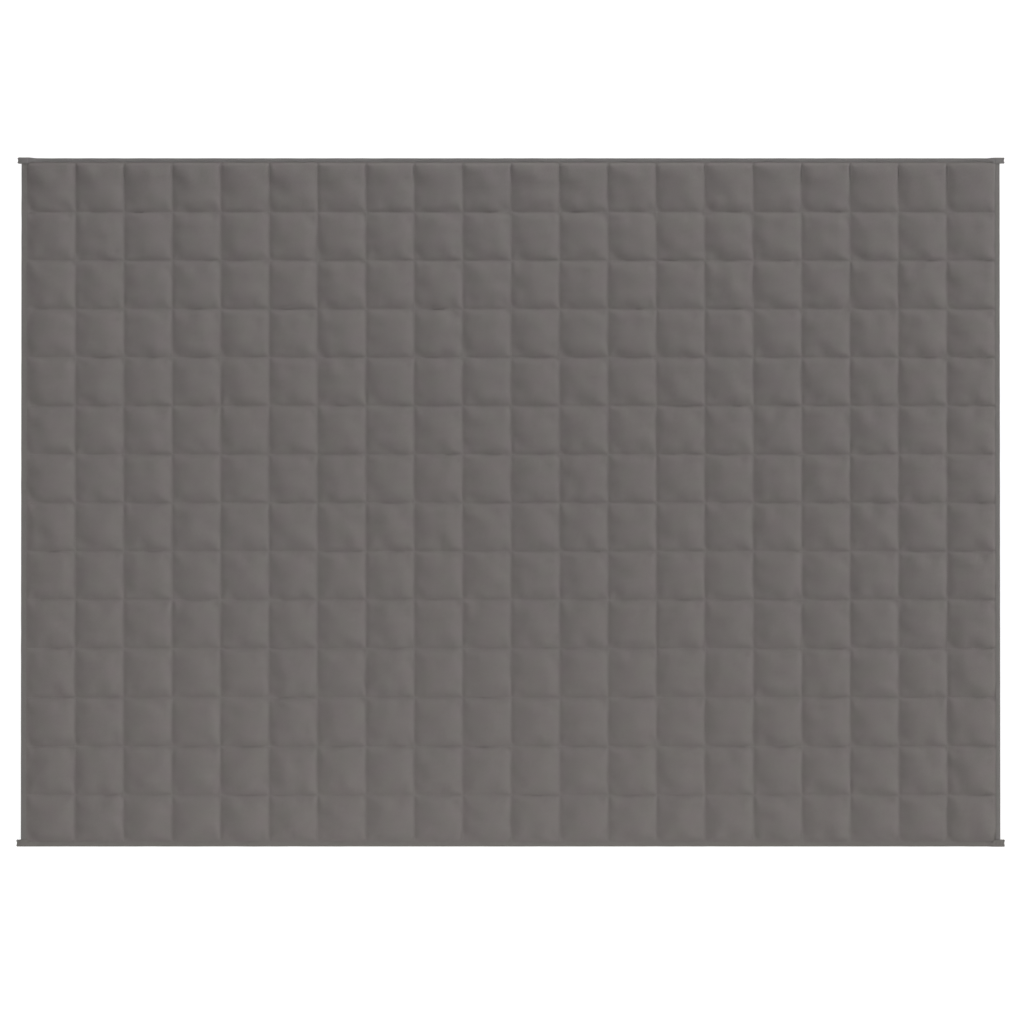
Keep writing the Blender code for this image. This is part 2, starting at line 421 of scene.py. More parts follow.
class SharedEffects:
    """The node groups that several finishes use. Each gives values that change on the cloth."""

    # The threads wander by BEND, in waves of which BEND_WAVES come to a metre.
    BEND = 2.2 * MM
    BEND_WAVES = 70.0
    # How far the tone's noise moves from a thread to the next and over a thread's width along it.
    NEXT_THREAD = 0.37
    ALONG_THREAD = 0.035
    TONE_SCALE = 5.0
    # A thread is THINNEST to THINNEST + THICKER times as high as an even one.
    THINNEST = 0.6
    THICKER = 0.8
    # Lumps to a metre of the nap's fuzz, its lay and its patches, and of the dye's unevenness.
    FUZZ = 1900.0
    LAY = 520.0
    NAP_PATCHES = 85.0
    WIDE_DYE = 2.6
    DYE_PATCHES = 14.0
    TINT_PATCHES = 24.0

    def __init__(self) -> None:
        """Builds each group once."""
        self.weave = self._weave()
        self.nap = self._nap()
        self.drift = self._drift()

    @staticmethod
    def _new_group(
        name: str, number: Optional[str], outputs: Sequence[str]
    ) -> Tuple[NodeBench, bpy.types.NodeOutputs, bpy.types.Node]:
        """An empty group that is given a place, and perhaps a number, and gives numbers.

        Args:
            name: The group's name.
            number: The name of the number, if there is one.
            outputs: Name of each output.

        Returns:
            A bench on the group's tree, what the group is given, and its output node.
        """
        tree = bpy.data.node_groups.new(name, "ShaderNodeTree")
        tree.interface.new_socket(name="Place", in_out="INPUT", socket_type="NodeSocketVector")
        if number is not None:
            tree.interface.new_socket(name=number, in_out="INPUT", socket_type="NodeSocketFloat")
        for label in outputs:
            tree.interface.new_socket(name=label, in_out="OUTPUT", socket_type="NodeSocketFloat")
        given, result = tree.nodes.new("NodeGroupInput"), tree.nodes.new("NodeGroupOutput")
        return NodeBench(tree), given.outputs, result

    def _weave(self) -> bpy.types.NodeTree:
        """Plain weave: round threads that pass over and under each other like a chequerboard.

        The threads' height is the size of a half sine across each thread, and the chequer says
        which of the two is on top. The threads wander a little, and each has its own thickness
        and tone, which change slowly along it.
        """
        names = ["Height", "Tone"]
        bench, given, result = self._new_group("plain_weave", "Threads per Metre", names)
        place = given["Place"]
        waves = bench.add("TexNoise", None, Vector=place, Scale=self.BEND_WAVES, Detail=1.0)
        centred = bench.vector("SUBTRACT", waves.outputs["Color"], (0.5, 0.5, 0.5))
        bent = bench.vector("ADD", place, bench.vector("MULTIPLY", centred, (self.BEND,) * 3))
        threads = given["Threads per Metre"]
        counted = bench.add("VectorMath", {"operation": "SCALE"}, Vector=bent, Scale=threads)
        x, y = bench.split(counted.outputs["Vector"])
        round_x, round_y = (
            bench.math("ABSOLUTE", bench.math("SINE", bench.math("MULTIPLY", part, math.pi)))
            for part in (x, y)
        )
        steps = bench.math("ADD", bench.math("FLOOR", x), bench.math("FLOOR", y))
        over = bench.math("FLOORED_MODULO", steps, 2.0)
        tones = []
        for own, run in ((x, y), (y, x)):
            number = bench.math("MULTIPLY", bench.math("FLOOR", own), self.NEXT_THREAD)
            slow = bench.math("MULTIPLY", run, self.ALONG_THREAD)
            spot = bench.add("CombineXYZ", None, X=number, Y=slow, Z=0.0)
            tones.append(bench.noise(spot.outputs["Vector"], self.TONE_SCALE, 0.0))
        height = bench.math("MULTIPLY_ADD", over, bench.math("SUBTRACT", round_y, round_x), round_x)
        apart = bench.math("SUBTRACT", tones[1], tones[0])
        tone = bench.math("MULTIPLY_ADD", over, apart, tones[0])
        thick = bench.math("MULTIPLY_ADD", tone, self.THICKER, self.THINNEST)
        bench.give(result, Height=bench.math("MULTIPLY", height, thick), Tone=tone)
        return bench.tree

    def _nap(self) -> bpy.types.NodeTree:
        """Brushed fibres: fine fuzz in soft patches a few millimetres wide."""
        bench, given, result = self._new_group("brushed_nap", None, ["Height", "Tone"])
        place = given["Place"]
        fuzz = bench.noise(place, self.FUZZ, 3.0)
        lay = bench.noise(bench.vector("MULTIPLY", place, (1.0, 0.45, 1.0)), self.LAY)
        patches = bench.noise(place, self.NAP_PATCHES, 3.0)
        height = bench.math("MULTIPLY_ADD", fuzz, 0.45, bench.math("MULTIPLY", lay, 0.55))
        tone = bench.math("MULTIPLY_ADD", patches, 0.6, bench.math("MULTIPLY", lay, 0.4))
        bench.give(result, Height=height, Tone=tone)
        return bench.tree

    def _drift(self) -> bpy.types.NodeTree:
        """Slow change of colour over the cloth: wide patches of uneven dye, and a lean along its Y
        from the cool colour to the warm one.

        The tint is a second, smaller unevenness, in patches about as wide as half a pocket.
        """
        bench, given, result = self._new_group("colour_drift", "Lean per Metre", ["Share", "Tint"])
        place = given["Place"]
        lean = bench.math("MULTIPLY_ADD", bench.split(place)[1], given["Lean per Metre"], 0.5)
        patches = bench.math("MULTIPLY", bench.noise(place, self.DYE_PATCHES), 0.5)
        mixed = bench.math("MULTIPLY_ADD", bench.noise(place, self.WIDE_DYE), 0.5, patches)
        share = bench.math("ADD", lean, bench.math("SUBTRACT", mixed, 0.5))
        tint = bench.math("MULTIPLY_ADD", bench.noise(place, self.TINT_PATCHES, 1.0), 2.2, -0.6)
        bench.give(result, Share=bench.clamp(share), Tint=bench.clamp(tint))
        return bench.tree


@dataclass(frozen=True)
class ClothFinish:
    """A matt woven cloth."""

    name: str  # The material's name.
    cool: Colour  # Its colour at the cool end of the drift.
    warm: Colour  # Its colour at the warm end of the drift.
    rose: Colour  # What multiplies the colour where the tint is redder.
    olive: Colour  # What multiplies it where the tint is yellower.
    lean: float  # How fast the cool colour turns into the warm one along the map's Y, per metre.
    threads: float  # Threads to a metre of its weave.
    weave_depth: float  # Height of the threads, in millimetres.
    nap_depth: float  # Height of the brushed fibres, in millimetres.
    tone_spread: float  # How much lighter and darker the nap's patches are.
    roughness: float  # Surface roughness.
    sheen: float  # Weight of the fibres' sheen.

    # Brightness of the lowest thread, and what its own tone and, as painted shade, its height add
    # to that: tops lighter, hollows darker.
    THREAD_BASE = 0.856
    THREAD_TONE = 0.16
    HEIGHT_PAINTED_SHADE = 0.10
    ROUGH_SPREAD = 0.12  # How much rougher the tips of the nap are than its bottom.

    def _extra_height(self, bench: NodeBench, place: Socket) -> Optional[Socket]:
        """A relief of the finish's own, in millimetres: none on plain cloth."""
        return None

    def material(self, effects: SharedEffects) -> Material:
        """The cloth's material, patterned on the cloth's own map, with painted shade between its
        threads.

        Args:
            effects: The shared node groups.

        Returns:
            The material.
        """
        material, bench, shader = new_material(self.name)
        place = bench.add("UVMap", {"uv_map": CLOTH_MAP}).outputs["UV"]
        nap = bench.group(effects.nap, Place=place)
        weave = bench.group(effects.weave, Place=place, Threads_per_Metre=self.threads)
        drift = bench.group(effects.drift, Place=place, Lean_per_Metre=self.lean)

        dye = bench.mix(drift["Share"], self.cool, self.warm)
        tint = bench.mix(drift["Tint"], self.rose, self.olive)
        tinted = bench.mix(1.0, dye, tint, "MULTIPLY")
        threads = bench.math("MULTIPLY_ADD", weave["Tone"], self.THREAD_TONE, self.THREAD_BASE)
        # Painted shade: the weave's height lightens the tops of the threads and darkens the hollows
        # between them.
        threads = bench.math("MULTIPLY_ADD", weave["Height"], self.HEIGHT_PAINTED_SHADE, threads)
        patches = bench.math("SUBTRACT", nap["Tone"], 0.5)
        value = bench.math("MULTIPLY_ADD", patches, self.tone_spread, threads)
        tone_with_painted_shade = bench.add("HueSaturation", None, Color=tinted, Value=value)

        smoothest = self.roughness - self.ROUGH_SPREAD / 2
        height = bench.math("MULTIPLY", weave["Height"], self.weave_depth)
        height = bench.math("MULTIPLY_ADD", nap["Height"], self.nap_depth, height)
        extra = self._extra_height(bench, place)
        if extra is not None:
            height = bench.math("ADD", height, extra)
        bump = bench.add("Bump", None, Height=height, Strength=1.0, Distance=MM)
        bench.give(
            shader,
            Base_Color=tone_with_painted_shade.outputs["Color"],
            Roughness=bench.math("MULTIPLY_ADD", nap["Height"], self.ROUGH_SPREAD, smoothest),
            Specular_IOR_Level=0.25,
            Sheen_Weight=self.sheen,
            Sheen_Roughness=0.45,
            Normal=bump.outputs["Normal"],
        )
        return material


@dataclass(frozen=True)
class QuiltFinish(ClothFinish):
    """The quilted cloth: its seams also gather it into short puckers."""

    pitch: float = 0.1  # Distance between seams, in metres.
    pucker_depth: float = 0.3  # Height of the puckers beside a seam, in millimetres.
    pucker_reach: float = 0.009  # How far they run out from it, in metres.
    puckers: float = 110.0  # Puckers to a metre of seam.
    stretch: float = 0.22  # Their width as a share of their length.

    def _beside_seams(self, bench: NodeBench, place: Socket, across: int) -> Socket:
        """Noise stretched away from each seam, times e to the minus distance over the reach.

        Args:
            bench: The bench on the material's tree.
            place: Where a point lies on the cloth.
            across: The axis that the seams lie across, 0 or 1.

        Returns:
            The puckers' share of their depth.
        """
        cells = bench.math("DIVIDE", bench.split(place)[across], self.pitch)
        away = bench.math("ABSOLUTE", bench.math("SUBTRACT", cells, bench.math("ROUND", cells)))
        power = bench.math("MULTIPLY", away, -self.pitch / self.pucker_reach)
        shares = (self.stretch, 1.0, 1.0) if across == 0 else (1.0, self.stretch, 1.0)
        noise = bench.noise(bench.vector("MULTIPLY", place, shares), self.puckers, 1.5)
        return bench.math("MULTIPLY", bench.math("EXPONENT", power), noise)

    def _extra_height(self, bench: NodeBench, place: Socket) -> Optional[Socket]:
        """The puckers beside the seams both ways, in millimetres."""
        both = (self._beside_seams(bench, place, across) for across in (0, 1))
        return bench.math("MULTIPLY", bench.math("ADD", *both), self.pucker_depth)


@dataclass(frozen=True)
class ThreadFinish:
    """Twisted sewing thread."""

    name: str  # The material's name.
    colour: Colour  # The thread's colour.
    twists: float  # Turns of its plies to a metre.
    painted_shade_between_plies: float = 0.8  # Brightness between the plies: painted shade in the grooves.
    painted_light_on_ply_tops: float = 0.35  # How much brighter a ply's top is: painted light that follows the plies' height.

    def material(self) -> Material:
        """The thread's material: slanting plies on the object's own coordinates, with painted shade
        between them.
        """
        material, bench, shader = new_material(self.name)
        place = bench.add("TexCoord").outputs["Object"]
        bands = {"wave_type": "BANDS", "bands_direction": "DIAGONAL"}
        plies = bench.add("TexWave", bands, Vector=place, Scale=self.twists, Distortion=0.4)
        plies = plies.outputs["Fac"]
        # Painted shade: the plies' bands, which are also the bump's height, darken the grooves and
        # lighten the tops.
        tone_with_painted_shade = bench.math("MULTIPLY_ADD", plies, self.painted_light_on_ply_tops, self.painted_shade_between_plies)
        tint = bench.add("HueSaturation", None, Color=self.colour, Value=tone_with_painted_shade)
        bump = bench.add("Bump", None, Height=plies, Strength=0.5, Distance=0.1 * MM)
        bench.give(
            shader,
            Base_Color=tint.outputs["Color"],
            Roughness=0.6,
            Sheen_Weight=0.1,
            Normal=bump.outputs["Normal"],
        )
        return material


# ------ The quilting's plan ------


@dataclass(frozen=True)
class QuiltPlan:
    """Where the seams and the edges lie."""

    pitch: float  # Distance between seams.
    half_length: float  # From the middle to the last seam across the long side.
    half_width: float  # From the middle to the last seam across the short side.
    # How far the inner seams lie nearer the foot than even rows would.
    seam_shift: float = 0.9 * MM
    foot_shift: float = 3.4 * MM  # How much further the last of them do.
    late_from: float = 0.62  # Share of the way to the foot from which on they do.

    @classmethod
    def from_frame(cls) -> "QuiltPlan":
        """Works the plan out from the frame's quilted body."""
        _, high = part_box("quilted_body")
        half_width = high.y - RIM_WIDTH
        pitch = 2 * half_width / ROWS
        return cls(pitch=pitch, half_length=COLUMNS * pitch / 2, half_width=half_width)

    def sewn(self, points: Array) -> Array:
        """Moves points of the even quilting to where they really lie, a little nearer the foot.

        The shift is nothing at the two outer seams and level between the first and the last inner
        seams, apart from a further part that smooth-steps in on the way to the last of them.

        Args:
            points: Points of the even quilting.

        Returns:
            Their places.
        """
        moved = points.copy()
        share = np.clip((self.half_width - points[..., 1]) / (2 * self.half_width), 0, 1)
        late = smooth_step(self.late_from, 1 - 1 / ROWS, share)
        inner = smooth_step(0, 1 / ROWS, share) * (1 - smooth_step(1 - 1 / ROWS, 1, share))
        moved[..., 1] -= inner * (self.seam_shift + self.foot_shift * late)
        return moved

    def laid(self, points: Array) -> Array:
        """Moves points of the true rectangle to where they lie: its sides spread from head to foot.

        Args:
            points: Points of the true rectangle.

        Returns:
            Their places.
        """
        spread = points.copy()
        spread[..., 0] *= 1 - FOOT_SPREAD * points[..., 1] / self.half_width
        return spread

    def fullness(self, column: Array, row: Array) -> Array:
        """How full of beads a pocket is, about 1, by the same two sines as its solid."""
        wandering = np.sin(2.1 * column + 1.3 * row) + np.sin(0.7 * column - 1.9 * row + 0.5)
        return 1 + UNEVEN_FILL * wandering / 2


# ------ The quilted body ------


@dataclass
class FaceCloth:
    """The face cloth between its seams, pushed up by the beads under it.

    It starts as a crown in each pocket, (1 - a ** n) * (1 - b ** m) of the rise, where a and b run
    from 0 in the pocket's middle to 1 at its seams, with soft lumps where the beads lie unevenly.
    Blender's cloth then settles it: it has a little more cloth than the crown needs, so it gathers
    at the seams.
    """

    plan: QuiltPlan
    cells: int = 16  # Cells across a pocket.
    rise: float = 4.4 * MM  # Height of the crown that it starts from.
    power_across: float = 2.4  # How flat that crown is along X.
    power_along: float = 4.6  # How flat it is along Y.
    lump: float = 0.5 * MM  # Height of the beads' lumps.
    lump_reach: float = 0.06  # Width of a lump.
    crumple: float = 0.35 * MM  # Height of the first fine unevenness, which the folds grow from.
    spare: float = 0.006  # Share of spare cloth.
    pressure: float = 1.6  # Push of the beads.
    bending: float = 1.5  # The cloth's stiffness in bending.
    mass: float = 0.001  # The cloth's mass as Blender counts it, light so that it settles soon.
    damping: float = 5.0  # How much the air slows it.
    quality: int = 5  # Steps of the settling in each frame.
    frames: int = 11  # Frames that it settles for.

    def _lattice(self) -> Tuple[Array, Array, Array, Array]:
        """Flat places and shares of the way across the pockets, for each point of the sheet."""
        columns = np.arange(COLUMNS * self.cells + 1)
        rows = np.arange(ROWS * self.cells + 1)
        step = self.plan.pitch / self.cells
        half_length, half_width = self.plan.half_length, self.plan.half_width
        x, y = np.meshgrid(columns * step - half_length, rows * step - half_width)
        across, along = np.meshgrid(columns % self.cells, rows % self.cells)
        return x, y, across / self.cells, along / self.cells

    def starting_shape(self, rng: np.random.Generator) -> Grids:
        """The crowned sheet before it settles.

        Args:
            rng: Where the lumps and the crumple are drawn from.

        Returns:
            The points, one row of them for each row of the sheet, and a mask of those sewn down.
        """
        x, y, across, along = self._lattice()
        sewn = (across == 0) | (along == 0)
        column = np.minimum((x + self.plan.half_length) // self.plan.pitch, COLUMNS - 1)
        row = np.minimum((y + self.plan.half_width) // self.plan.pitch, ROWS - 1)
        crown = 1 - np.abs(2 * across - 1) ** self.power_across
        crown = crown * (1 - np.abs(2 * along - 1) ** self.power_along)
        lumps = self.lump * ripple(rng, x, y, self.lump_reach)
        crumple = rng.normal(0, self.crumple, x.shape)
        for axis in (0, 1, 0, 1):
            crumple = (np.roll(crumple, 1, axis) + crumple + np.roll(crumple, -1, axis)) / 2
        fullness = self.plan.fullness(column, row)
        height = fullness * self.rise * crown + lumps * np.sqrt(crown) + crumple * crown
        height[sewn] = 0
        return np.stack([x, y, height], axis=-1), sewn

    def settled(self, rng: np.random.Generator) -> Array:
        """The sheet after Blender's cloth has settled it between its sewn-down seams.

        Args:
            rng: Where the starting shape's unevenness is drawn from.

        Returns:
            The points, one row of them for each row of the sheet, with heights above the seams.
        """
        start, sewn = self.starting_shape(rng)
        mesh = make_mesh("face_cloth", start.reshape(-1, 3), grid_quads(*sewn.shape))
        sheet = add_object("face_cloth", mesh)
        seams = sheet.vertex_groups.new(name="seams")
        seams.add(np.flatnonzero(sewn).tolist(), 1.0, "REPLACE")
        self._add_cloth(sheet, seams.name)
        scene = bpy.context.scene
        for frame in range(1, self.frames + 1):
            scene.frame_set(frame)
        drawn = sheet.evaluated_get(bpy.context.evaluated_depsgraph_get()).data
        points = np.empty(len(drawn.vertices) * 3, np.float32)
        drawn.vertices.foreach_get("co", points)
        bpy.data.objects.remove(sheet)
        bpy.data.meshes.remove(mesh)
        scene.frame_set(1)
        return points.astype(float).reshape(start.shape)

    def _add_cloth(self, sheet: bpy.types.Object, sewn_group: str) -> None:
        """Gives the sheet its cloth: light, damped, pushed up by the beads and held at its seams.

        Args:
            sheet: The sheet.
            sewn_group: The name of its group of sewn-down points.
        """
        cloth = sheet.modifiers.new("settling", "CLOTH")
        cloth.point_cache.frame_start = 1
        cloth.point_cache.frame_end = self.frames
        settings = cloth.settings
        settings.quality = self.quality
        settings.mass = self.mass
        settings.air_damping = self.damping
        settings.bending_stiffness = self.bending
        settings.vertex_group_mass = sewn_group
        settings.shrink_min = -self.spare
        settings.use_pressure = True
        settings.uniform_pressure_force = self.pressure
        settings.effector_weights.gravity = 0


@dataclass
class QuiltedBody:
    """Face cloth, back cloth and beads, sewn through into pockets: one closed padded piece."""

    plan: QuiltPlan
    sheet: Array  # The settled face cloth's points.
    sheet_cells: int  # Its cells across a pocket.
    face_cells: int = 16  # Cells of the upper side across a pocket.
    crowding: float = 0.7  # How much closer the cells lie to the seams, from 0 to 1.
    # How far from a seam the cloth still lies low in a round valley.
    valley_reach: float = 2.1 * MM
    # How much further up it then rises where the beads press it out beside the seam.
    shoulder: float = 1.1 * MM
    shoulder_reach: float = 7.5 * MM  # How far from a seam that takes.
    # How much the valleys' reach and the shoulders' height change from place to place.
    uneven: float = 0.25
    valley_patch: float = 0.06  # Width of the patches that the valleys' reach changes in.
    shoulder_patch: float = 0.05  # Width of those that the shoulders' height changes in.
    lump: float = 0.5 * MM  # Height of the wide lumps that the beads settle into.
    lump_reach: float = 0.1  # Width of such a lump.
    lump_fade: float = 0.02  # How far from a seam such a lump has risen.
    squareness: float = 2.5  # How square the contours are where seams cross, from 1 for round.
    head_shift: float = 1.3 * MM  # How far the last seam at the head lies out towards its tape.
    head_share: float = 0.4  # Share of the outermost pockets that moves with it.
    # How much more steeply the cloth rises from the outer seams, at each edge.
    edge_rise: Dict[Edge, float] = field(
        default_factory=lambda: {
            Edge.LEFT: -0.7 * MM,
            Edge.RIGHT: 0.5 * MM,
            Edge.HEAD: 3.3 * MM,
            Edge.FOOT: -0.6 * MM,
        }
    )
    edge_reach: float = 5.7 * MM  # How far from an outer seam that rise is full.
    edge_share: float = 0.6  # Share of a pocket over which it has died away again.
    # How far from a seam the underside comes down to the surface.
    back_flat_reach: float = 6.5 * MM
    back_uneven: float = 0.12  # How much that changes from place to place.
    back_low: float = 0.12  # How near to a seam, as a share, the underside leaves the surface.
    rim: float = 7.4 * MM  # How far the cloth goes on past the last seams, inside the tapes.
    rim_pinch: float = 0.58  # How much of its thickness is left at its cut edge.

    def _shares(self, cells: int) -> Array:
        """Where a pocket's grid lines lie from 0 to 1: even steps less a sine that crowds them."""
        even = np.arange(cells + 1) / cells
        return even - self.crowding * np.sin(2 * math.pi * even) / (2 * math.pi)

    def _lines(self, pockets: int, cells: int) -> Array:
        """The grid lines of all the pockets in a row, in metres from the first seam."""
        lines = np.arange(pockets)[:, None] + self._shares(cells)[None, :-1]
        return np.append(lines.reshape(-1), pockets) * self.plan.pitch

    def _flat(self, cells: int) -> Grids:
        """Flat places of a side's grid, in metres from the first seams."""
        return tuple(np.meshgrid(self._lines(COLUMNS, cells), self._lines(ROWS, cells)))

    def _seam_nearness(self, x: Array, y: Array, reach: Union[float, Array]) -> Array:
        """How near a point is to a seam, with squarish contours at the crossings.

        It is the k-th root of 1 - (1 - u ** k) * (1 - v ** k), where u and v are e to the minus
        distance from the nearest seam each way over reach.

        Args:
            x: Places along X from the first seam.
            y: Places along Y from the first seam.
            reach: How far the nearness reaches.

        Returns:
            1 on a seam and nothing far from any.
        """
        pitch, missing = self.plan.pitch, 1.0
        for way in (x, y):
            away = np.abs(way / pitch - np.round(way / pitch)) * pitch
            missing = missing * (1 - np.exp(-self.squareness * away / reach))
        return (1 - missing) ** (1 / self.squareness)

    def _read_sheet(self) -> Array:
        """Reads the settled sheet pocket by pocket by splines, so that the seams stay sharp.

        Returns:
            The points at the upper side's grid lines, a row for each line along Y.
        """
        weights = spline_weights(self._shares(self.face_cells), self.sheet_cells)
        in_pocket = np.arange(self.sheet_cells + 1)
        rows = np.arange(ROWS)[:, None] * self.sheet_cells + in_pocket
        columns = np.arange(COLUMNS)[:, None] * self.sheet_cells + in_pocket
        patches = self.sheet[rows[:, :, None, None], columns[None, None, :, :]]
        read = np.einsum("pi,qj,ricjk->rpcqk", weights, weights, patches, optimize=True)
        last = self.face_cells
        points = np.empty((ROWS * last + 1, COLUMNS * last + 1, 3))
        points[:-1, :-1] = read[:, :last, :, :last].reshape(ROWS * last, COLUMNS * last, 3)
        points[-1, :-1] = read[-1, last, :, :last].reshape(-1, 3)
        points[:-1, -1] = read[:, :last, -1, last].reshape(-1, 3)
        points[-1, -1] = read[-1, last, -1, last]
        return points

    def _edge_rise(self, x: Array, y: Array) -> Array:
        """The extra rise beside the outer seams: it smooth-steps in, and out again further inwards.

        Args:
            x: Places along X from the first seam.
            y: Places along Y from the first seam.

        Returns:
            The rise at each place.
        """
        length, width = COLUMNS * self.plan.pitch, ROWS * self.plan.pitch
        distances = {Edge.LEFT: x, Edge.RIGHT: length - x, Edge.HEAD: width - y, Edge.FOOT: y}
        total = np.zeros_like(x)
        for edge, distance in distances.items():
            fade = 1 - smooth_step(self.edge_reach, self.edge_share * self.plan.pitch, distance)
            total += self.edge_rise[edge] * smooth_step(0, self.edge_reach, distance) * fade
        return total

    def _face_points(self, rng: np.random.Generator) -> Array:
        """The upper side: the settled sheet with valleys, shoulders, lumps and rises at the edges.

        Args:
            rng: Where the unevenness is drawn from.

        Returns:
            The upper side's points, a row for each grid line along Y.
        """
        points = self._read_sheet()
        x, y = self._flat(self.face_cells)
        changing = np.clip(ripple(rng, x, y, self.valley_patch), -2, 2)
        reach = self.valley_reach * (1 + self.uneven * changing)
        open_share = 1 - self._seam_nearness(x, y, reach)
        shoulder = self.shoulder * (1 + self.uneven * ripple(rng, x, y, self.shoulder_patch))
        shoulder = shoulder * (1 - self._seam_nearness(x, y, self.shoulder_reach))
        lumps = self.lump * ripple(rng, x, y, self.lump_reach)
        lumps = lumps * (1 - self._seam_nearness(x, y, self.lump_fade))
        height = points[..., 2] + shoulder + lumps + self._edge_rise(x, y)
        points[..., 2] = SEAM_TOP + open_share * height
        to_head = ROWS * self.plan.pitch - y
        outermost = smooth_step(0, self.head_share * self.plan.pitch, to_head)
        points[..., 1] += self.head_shift * (1 - outermost)
        return points

    def _back_points(self, cells: int, rng: np.random.Generator) -> Array:
        """The underside: flat on the surface, and raised to the seams over an uneven distance.

        Its height is the seams' underside times a smooth step of the nearness to a seam.

        Args:
            cells: Cells across a pocket.
            rng: Where the unevenness is drawn from.

        Returns:
            The underside's points, a row for each grid line along Y.
        """
        x, y = self._flat(cells)
        nearness = self._seam_nearness(x, y, self.back_flat_reach)
        changing = ripple(rng, x, y, self.valley_patch) * (1 - nearness)
        nearness = nearness * (1 + self.back_uneven * changing)
        height = SEAM_UNDERSIDE * smooth_step(self.back_low, 1.0, nearness)
        return np.stack([x - self.plan.half_length, y - self.plan.half_width, height], axis=-1)

    def _with_rim(self, points: Array, steps: int) -> Array:
        """Adds the sewn rim outside the last seams, thinner towards its cut edge.

        Args:
            points: A side's points.
            steps: How many rows of points the rim gets.

        Returns:
            The side's points with those of its rim around them.
        """
        left = self.rim_pinch ** (1 / steps)
        for _ in range(steps):
            points = np.pad(points, ((1, 1), (1, 1), (0, 0)), mode="edge")
            points[:, 0, 0] -= self.rim / steps
            points[:, -1, 0] += self.rim / steps
            points[0, :, 1] -= self.rim / steps
            points[-1, :, 1] += self.rim / steps
            for side in (points[0], points[-1], points[1:-1, 0], points[1:-1, -1]):
                side[:, 2] = SEAM_MIDDLE + (side[:, 2] - SEAM_MIDDLE) * left
        return points

    @staticmethod
    def _edge_triangles(face: Array, back: Array) -> Array:
        """Closes the cut edge between a loop of points and one with half as many.

        Args:
            face: The upper side's border.
            back: The underside's border, which starts at the same corner and runs the same way.

        Returns:
            Three corner numbers for each triangle.
        """
        start, middle, end = face[0::2], face[1::2], np.roll(face, -2)[0::2]
        low, low_end = back, np.roll(back, -1)
        fans = [(start, low, middle), (middle, low, low_end), (middle, low_end, end)]
        return np.concatenate([np.stack(fan, axis=-1) for fan in fans])

    def build(self, material: Material) -> bpy.types.Object:
        """Builds the padded piece around the settled face cloth.

        Args:
            material: The quilted cloth's material.

        Returns:
            The piece.
        """
        rng = np.random.default_rng(SEED + BODY_DRAWS)
        face = self._with_rim(self._face_points(rng), steps=2)
        back = self._with_rim(self._back_points(self.face_cells // 2, rng), steps=1)
        face_shape, back_shape = face.shape[:2], back.shape[:2]
        first = face_shape[0] * face_shape[1]
        quads = [grid_quads(*face_shape), grid_quads(*back_shape, first=first)[:, ::-1]]
        edge = self._edge_triangles(border(*face_shape), border(*back_shape, first=first))
        points = np.concatenate([face.reshape(-1, 3), back.reshape(-1, 3)])
        placed = self.plan.laid(self.plan.sewn(points))
        mesh = make_mesh("quilted_cloth", placed, np.concatenate(quads), edge)
        corner = np.array([self.plan.half_length, self.plan.half_width])
        add_cloth_places(mesh, points[:, :2] + corner)
        piece = add_piece(mesh, material)
        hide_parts("quilted_body")
        return piece


# ------ Sewing ------


@dataclass
class Stitching:
    """Rows of single stitches, each a grain with pointed ends that dip into the cloth."""

    length: float = 3.3 * MM  # Length of a stitch.
    width: float = 0.42 * MM  # Thickness of the thread.
    dip: float = 0.3 * MM  # How far its ends go down.
    swing: float = 4.0  # How far a stitch may turn, in degrees.
    uneven: float = 0.05  # How much longer or shorter it may be.
    sway: float = 0.05 * MM  # How far it may lie to the side.

    def _grain(self) -> Tuple[Array, Array, Array]:
        """One grain along its own first axis: two ends and two rings of three.

        Returns:
            Its points, its four-sided faces and its triangles.
        """
        turns = np.radians([90, 210, 330])
        ring = np.stack([np.zeros(3), np.cos(turns), np.sin(turns)], axis=-1) * self.width / 2
        quarter = np.array([self.length / 4, 0, 0])
        tip = np.array([self.length / 2, 0, 0])
        sink = np.array([0, 0, self.dip])
        points = np.vstack([-tip - sink, ring - quarter, ring + quarter, tip - sink])
        here = np.arange(3)
        after = (here + 1) % 3
        quads = np.stack([1 + here, 1 + after, 4 + after, 4 + here], axis=-1)
        near = np.stack([np.zeros(3, int), 1 + after, 1 + here], axis=-1)
        far = np.stack([np.full(3, 7), 4 + here, 4 + after], axis=-1)
        return points, quads, np.concatenate([near, far])

    def sewn(
        self, name: str, centres: Array, headings: Array, ups: Array, rng: np.random.Generator
    ) -> Mesh:
        """A mesh of many stitches.

        Args:
            name: The mesh's name.
            centres: The middle of each stitch.
            headings: The way each one runs.
            ups: The way out of the cloth at each one.
            rng: Where their small differences are drawn from.

        Returns:
            The mesh.
        """
        grain, quads, ends = self._grain()
        count = len(centres)
        swing = rng.normal(0, math.radians(self.swing), (count, 1))
        headings = headings * np.cos(swing) + np.cross(ups, headings) * np.sin(swing)
        across = np.cross(ups, headings)
        size = rng.normal(1, self.uneven, (count, 1, 1))
        shift = across * rng.normal(0, self.sway, (count, 1))
        axes = np.stack([headings, across, ups], axis=1)
        points = (grain[None] * size) @ axes + (centres + shift)[:, None]
        first = np.arange(count)[:, None, None] * len(grain)
        quads, ends = (quads + first).reshape(-1, 4), (ends + first).reshape(-1, 3)
        return make_mesh(name, points.reshape(-1, 3), quads, ends)


